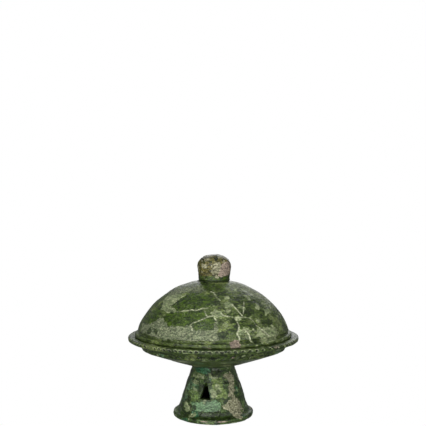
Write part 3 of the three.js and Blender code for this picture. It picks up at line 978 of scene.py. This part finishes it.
def make_lid():
    outline = lid_outline()
    lid = turned("lid", outline, LID_COLUMNS, lid_relief)
    points = vertex_points(lid)
    radius, level = radii_of(points), points[:, 2]
    outside = radius > np.interp(level, [94, 102, 125, 140, 151, 155], [86, 84, 72, 55, 26, 0])
    behind = points[:, 1] > 0
    # The near-black round the knob's base on the dome's top is painted shade where the knob meets the dome.
    mark(lid, "pit_and_shade", outside * strongest([
        0.8 * lid_pits(points, outline), 0.55 * paths(points, outline, seen_all(LID_FRACTURE), 0.7),
        0.75 * (level > 157.5) * (radius < 20)]))
    mark(lid, "crack_and_highlight", outside * lid_cracks(points, outline, 1.15))
    mark(lid, "smooth", outside * strongest([
        patches(points, outline, LID_SMOOTH), 0.8 * clouds(points, 34, 39, 0.5, 0.8) * behind]))
    mark(lid, "grey", outside * strongest([
        patches(points, outline, LID_GREY, 1.0, 1.2), 0.8 * clouds(points, 40, 40, 0.5, 0.8) * behind]))
    # The inside of the lid is painted shade. The faint band between levels 98.6 and 101.8 is painted shade in
    # the groove between dome and flange.
    mark(lid, "dark", strongest([
        0.9 * patches(points, outline, LID_BLOTS, 1.4, 1.2), 0.4 * clouds(points, 13, 35, 0.4, 1.0),
        0.15 * ((level > 98.6) & (level < 101.8)), 0.7 * ~outside]))
    right_side = smooth(-0.1, 0.25, points[:, 0] / 90)
    mark(lid, "pale", outside * strongest([
        patches(points, outline, LID_PALE, 1.2, 1.2), 0.6 * clouds(points, 13, 37, 0.3, 1.0) * right_side]))
    mark(lid, "crust", outside * 0.3 * clouds(points, 12, 38, 0.7, 1.3))
    mark(lid, "bare", strongest([
        patches(points, outline, LID_CLAY), spot(points, outline, 17.6, 95.4, 1.5, 1.0),
        spot(points, outline, -2.5, 94.8, 2.0, 0.8)]))
    tones = (42, 57, 16), (82, 95, 56), (118, 127, 92), (138, 146, 118)
    dress(lid, glaze("dome_glaze", tones, (0.09, 0.63, 0.27)), "lid", "lid_dome")


# Knob. The corners of its marks are pixels of the photograph, and its pits are pixels with a radius.
KNOB_CLAY = [
    [(222, 264.5), (225, 262), (228, 261.5), (230.5, 264), (230, 272), (228.5, 274.5), (226, 276),
     (221, 277), (217.8, 276.6), (219, 273), (220, 270), (220.5, 267)],
]
KNOB_BEIGE = [
    [(215.5, 261), (219, 261.5), (221, 266), (220.5, 270), (218.5, 274), (214, 275.5), (211, 272.5),
     (211.5, 268), (211, 264.5), (215, 264)],
    [(205, 258.5), (208, 257.8), (210, 259.3), (207, 261), (205, 260.5)],
    [(201.5, 264.5), (205, 263.8), (207.5, 266), (206, 268), (202, 267.5)],
    [(210, 255.8), (213, 256), (213, 257.3), (210, 257.2)],
]
KNOB_DARK = [
    [(214, 257.5), (216.5, 256.3), (218, 258.5), (217.5, 260), (215, 260.3)],
    [(217.5, 277), (223, 277.2), (222.5, 278.8), (218, 278.6)],
    [(228.6, 275), (230.2, 272.5), (230, 277), (228.5, 279)],
    [(208.5, 260.2), (212.5, 260.5), (213, 262.5), (209, 262.8)],
    [(203.5, 260), (206, 261.5), (204.5, 263.5), (202.5, 262)],
]
KNOB_PITS = [
    (216.2, 258.8, 1.5), (214.2, 270.3, 0.95), (213.4, 272.5, 0.8), (210.2, 274, 1.15),
    (216.5, 274.8, 1.25), (214.2, 263.4, 0.6), (209.4, 269.4, 0.6),
]


def knob_pits(points, outline, offset):
    made = pits(points, outline, KNOB_PITS, 0.9, 0, 0.5, offset)
    return np.maximum(made, scattered(points, outline, 60, (161, 186), (0.35, 0.8), 41, offset))


def knob_relief(points, normals):
    """The knob's relief, worked out before the knob is moved off the axis."""
    outline = knob_outline()
    rough = 0.34 * waves(points, 15, 42) + 0.12 * waves(points, 4.2, 43, 26)
    worn = patches(points, outline, KNOB_CLAY, 0.9, 0.6)
    seat = smooth(0.2, 2.0, points[:, 2] - KNOB_LEVEL)
    return (rough - 0.7 * knob_pits(points, outline, 0.0) - 0.35 * worn) * seat


def make_knob():
    outline = knob_outline()
    knob = turned("knob", outline, KNOB_COLUMNS, knob_relief, KNOB_OFFSET)
    points = vertex_points(knob)
    height = points[:, 2] - KNOB_LEVEL
    mark(knob, "pit_and_shade", knob_pits(points, outline, KNOB_OFFSET))
    # The bottom of the knob, fading out by 2.6 mm up, is painted shade where it meets the dome.
    mark(knob, "dark", strongest([
        1 - smooth(0.8, 2.6, height), 0.4 * clouds(points, 8, 44, 0.3, 1.0),
        patches(points, outline, KNOB_DARK, 0.8, 0.6, KNOB_OFFSET)]))
    mark(knob, "smooth", 0.8 * (1 - smooth(4, 9, height)))
    mark(knob, "crust", strongest([
        0.9 * patches(points, outline, KNOB_BEIGE, 0.9, 0.9, KNOB_OFFSET),
        0.6 * clouds(points, 9, 46, 0.6, 1.1)]))
    mark(knob, "bare", patches(points, outline, KNOB_CLAY, 0.7, 0.6, KNOB_OFFSET))
    tones = (56, 58, 20), (96, 94, 56), (130, 122, 92), (140, 132, 104)
    dress(knob, glaze("knob_glaze", tones, (0.51, 0.22, 0.81)), "lid", "lid_knob")


# Stand, camera, lamps and background, in metres
STAND_RADIUS = 0.0408
STAND_THICKNESS = 0.0004
STAND_MIDDLE = -0.0003
AMBIENT_COLOUR = (0.9, 0.92, 0.95, 1)
AMBIENT_STRENGTH = 0.22

# Each lamp's name, place, the level that it is aimed at, size and power
LAMPS = (
    ("key", (-0.45, -1.0, 0.7), 0.1, 0.6, 9),
    ("fill", (0.75, -0.8, 0.45), 0.09, 0.7, 4.5),
    ("top", (0.0, -0.2, 0.95), 0.1, 0.7, 1.5),
    ("low", (-0.1, -1.1, -0.25), 0.08, 0.8, 10),
    ("back", (0.1, 0.9, 0.6), 0.09, 0.7, 3),
)


def make_stand():
    """A small disc inside the foot's resting ring, which keeps light from below out of the hollow foot."""
    bpy.ops.mesh.primitive_cylinder_add(
        vertices=96, radius=STAND_RADIUS, depth=STAND_THICKNESS, location=(0, 0, STAND_MIDDLE))
    stand = bpy.context.object
    stand.name = "stand"


def make_camera():
    data = bpy.data.cameras.new("camera")
    data.lens = CAMERA_LENS
    data.sensor_width = CAMERA_SENSOR
    data.sensor_height = CAMERA_SENSOR
    camera = bpy.data.objects.new("camera", data)
    bpy.context.collection.objects.link(camera)
    camera.location = CAMERA_PLACE
    camera.rotation_euler = (math.radians(90), 0, 0)
    bpy.context.scene.camera = camera


def make_lamp(name, place, aim_level, size, power):
    data = bpy.data.lights.new(name, "AREA")
    data.size = size
    data.energy = power
    light = bpy.data.objects.new(name, data)
    bpy.context.collection.objects.link(light)
    light.location = place
    aim = Vector((0, 0, aim_level)) - Vector(place)
    light.rotation_euler = aim.to_track_quat("-Z", "Y").to_euler()


def make_background():
    """A dim even light on the dish, and plain white where the camera looks past it."""
    world = bpy.data.worlds.new("world")
    bpy.context.scene.world = world
    world.use_nodes = True
    tree = world.node_tree
    ambient = tree.nodes["Background"]
    ambient.inputs["Color"].default_value = AMBIENT_COLOUR
    ambient.inputs["Strength"].default_value = AMBIENT_STRENGTH
    white = tree.nodes.new("ShaderNodeBackground")
    white.inputs["Color"].default_value = (1, 1, 1, 1)
    white.inputs["Strength"].default_value = 1.0
    rays = tree.nodes.new("ShaderNodeLightPath")
    choice = tree.nodes.new("ShaderNodeMixShader")
    tree.links.new(rays.outputs["Is Camera Ray"], choice.inputs[0])
    tree.links.new(ambient.outputs[0], choice.inputs[1])
    tree.links.new(white.outputs[0], choice.inputs[2])
    tree.links.new(choice.outputs[0], tree.nodes["World Output"].inputs["Surface"])


make_pedestal()
make_bowl()
make_lid()
make_knob()
make_stand()
make_camera()
for lamp in LAMPS:
    make_lamp(*lamp)
make_background()
bpy.context.scene.view_settings.view_transform = "Standard"
